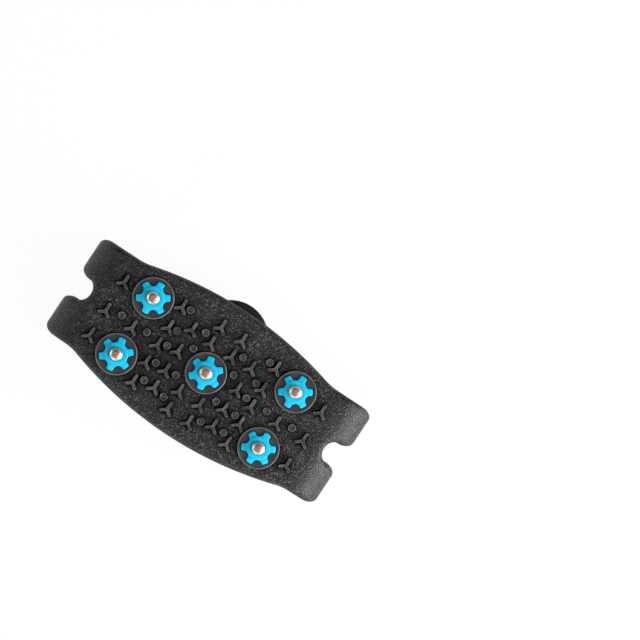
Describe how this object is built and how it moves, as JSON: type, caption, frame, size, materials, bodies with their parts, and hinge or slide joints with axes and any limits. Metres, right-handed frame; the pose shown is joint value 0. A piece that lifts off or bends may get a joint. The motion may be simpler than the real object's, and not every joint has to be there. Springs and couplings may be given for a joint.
{
  "type": "ice cleat",
  "caption": "Slip-on ice cleat: a black rubber sole plate with moulded lugs and riveted steel studs in toothed blue inserts, held over a shoe by a stretch harness with an instep disc.",
  "frame": {"origin": "middle of the sole plate's shoe-side face, on the axis of the middle stud", "axes": "+X across the shoe to one horned end, +Y along the shoe towards the side where the instep disc lies, +Z out of the tread towards the stud tips, as it lies in the picture"},
  "size_m": [0.126, 0.0594, 0.0309],
  "materials": {
    "rubber_black": "fine matt grain",
    "carrier_black": "satin",
    "gear_cyan": "satin gloss",
    "spike_steel": "turned, plated",
    "tip_carbide": "matt sintered",
    "washer_steel": "zinc plated"
  },
  "bodies": {
    "instep": {"instep_disc": "rubber_black", "band_left_front": "rubber_black", "band_left_rear": "rubber_black", "band_right_front": "rubber_black", "band_right_rear": "rubber_black"},
    "sole": {"sole_plate": "rubber_black"},
    "stud_1": {"stud_1_disc": "carrier_black", "stud_1_gear": "gear_cyan", "stud_1_spike": "spike_steel", "stud_1_tip": "tip_carbide", "stud_1_washer": "washer_steel"},
    "stud_2": {"stud_2_disc": "carrier_black", "stud_2_gear": "gear_cyan", "stud_2_spike": "spike_steel", "stud_2_tip": "tip_carbide", "stud_2_washer": "washer_steel"},
    "stud_3": {"stud_3_disc": "carrier_black", "stud_3_gear": "gear_cyan", "stud_3_spike": "spike_steel", "stud_3_tip": "tip_carbide", "stud_3_washer": "washer_steel"},
    "stud_4": {"stud_4_disc": "carrier_black", "stud_4_gear": "gear_cyan", "stud_4_spike": "spike_steel", "stud_4_tip": "tip_carbide", "stud_4_washer": "washer_steel"},
    "stud_5": {"stud_5_disc": "carrier_black", "stud_5_gear": "gear_cyan", "stud_5_spike": "spike_steel", "stud_5_tip": "tip_carbide", "stud_5_washer": "washer_steel"}
  },
  "joints": [
    {"name": "harness_stretch", "type": "slide", "parent": "instep", "child": "sole", "axis": [0, 0, 1], "range_m": [0, 0.045], "stiffness_N_per_m": 1500, "deforming": ["band_left_front", "band_left_rear", "band_right_front", "band_right_rear"]},
    {"name": "stud_1_turn", "type": "hinge", "parent": "sole", "child": "stud_1", "pos_m": [-0.033, 0.013, 0.003], "axis": [0, 0, 1], "continuous": true},
    {"name": "stud_2_turn", "type": "hinge", "parent": "sole", "child": "stud_2", "pos_m": [-0.033, -0.013, 0.003], "axis": [0, 0, 1], "continuous": true},
    {"name": "stud_3_turn", "type": "hinge", "parent": "sole", "child": "stud_3", "pos_m": [0, 0, 0.003], "axis": [0, 0, 1], "continuous": true},
    {"name": "stud_4_turn", "type": "hinge", "parent": "sole", "child": "stud_4", "pos_m": [0.033, 0.013, 0.003], "axis": [0, 0, 1], "continuous": true},
    {"name": "stud_5_turn", "type": "hinge", "parent": "sole", "child": "stud_5", "pos_m": [0.033, -0.013, 0.003], "axis": [0, 0, 1], "continuous": true}
  ]
}
